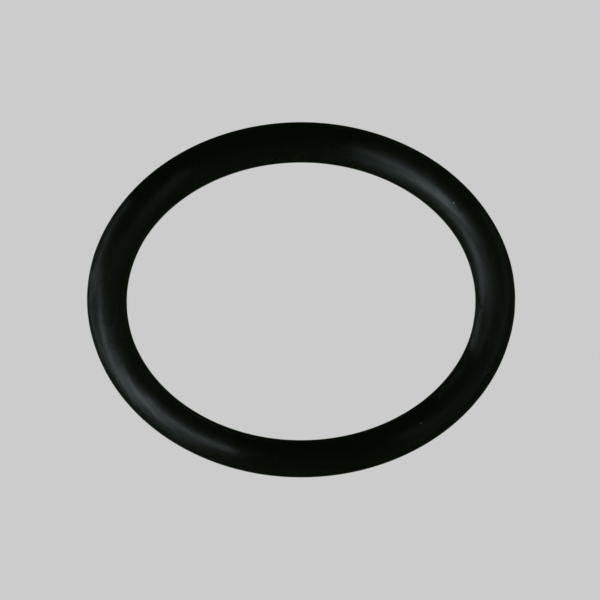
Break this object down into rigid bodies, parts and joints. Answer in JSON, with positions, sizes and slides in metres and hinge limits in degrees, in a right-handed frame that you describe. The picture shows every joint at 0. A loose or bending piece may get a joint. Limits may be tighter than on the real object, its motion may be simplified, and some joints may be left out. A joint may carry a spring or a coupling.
{
  "type": "rubber o-ring",
  "caption": "Moulded rubber sealing ring of round section, with a fine trimmed parting ridge round its inside and its outside.",
  "frame": {"origin": "centre of the ring, on the mid-plane where the mould halves met", "axes": "+Z along the ring's axis; the ring is the same all round, so +X and +Y are any two directions across it"},
  "size_m": [0.0442, 0.0442, 0.004],
  "materials": {
    "nitrile_rubber": "satin, as moulded"
  },
  "bodies": {
    "root": {"o_ring": "nitrile_rubber"}
  },
  "joints": []
}
